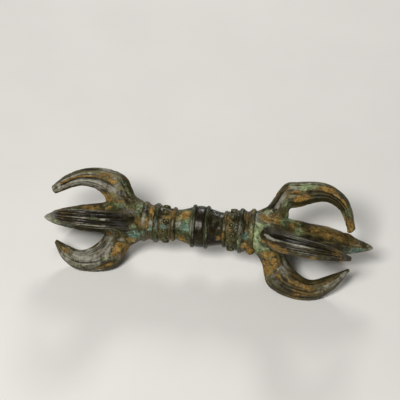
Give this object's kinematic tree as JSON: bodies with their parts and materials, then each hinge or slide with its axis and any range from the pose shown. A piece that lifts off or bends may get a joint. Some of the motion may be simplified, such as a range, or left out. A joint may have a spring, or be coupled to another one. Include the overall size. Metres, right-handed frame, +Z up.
{
  "type": "vajra",
  "caption": "Patinated bronze vajra, a hand-held ritual sceptre: a moulded grip of rings and bosses, with hooked claws round a spear-shaped prong at each end.",
  "frame": {"origin": "middle of the grip's belt, on the axis of the grip", "axes": "+X along the grip to the larger end, +Z up as it lies on its lower claws, -Y towards the side that the picture shows"},
  "size_m": [0.1622, 0.05, 0.0415],
  "materials": {
    "patinated_bronze": "aged olive-brown patina with ochre soil, semi-gloss",
    "verdigris_bronze": "pale green verdigris over bronze, satin",
    "dark_bronze": "near-black handled patina, glossy",
    "bare_bronze": "dull bare bronze"
  },
  "bodies": {
    "root": {"core_rod": "bare_bronze", "belt": "dark_bronze", "belt_ring_left": "verdigris_bronze", "belt_ring_right": "verdigris_bronze", "waist_left": "verdigris_bronze", "waist_right": "dark_bronze", "edge_ring_left": "patinated_bronze", "edge_ring_right": "patinated_bronze", "band_left": "patinated_bronze", "band_right": "patinated_bronze", "bosses_left": "verdigris_bronze", "bosses_right": "verdigris_bronze", "inner_ring_left": "verdigris_bronze", "inner_ring_right": "verdigris_bronze", "neck_left": "patinated_bronze", "neck_right": "patinated_bronze", "outer_ring_left": "patinated_bronze", "outer_ring_right": "patinated_bronze", "hub_left": "verdigris_bronze", "hub_right": "verdigris_bronze", "cross_pin_left": "bare_bronze", "cross_pin_right": "bare_bronze", "centre_prong_left": "patinated_bronze", "centre_prong_right": "patinated_bronze", "claw_left_upper": "patinated_bronze", "claw_left_front": "dark_bronze", "claw_left_lower": "patinated_bronze", "claw_left_back": "patinated_bronze", "claw_right_upper": "patinated_bronze", "claw_right_front": "dark_bronze", "claw_right_lower": "patinated_bronze", "claw_right_back": "patinated_bronze"}
  },
  "joints": []
}
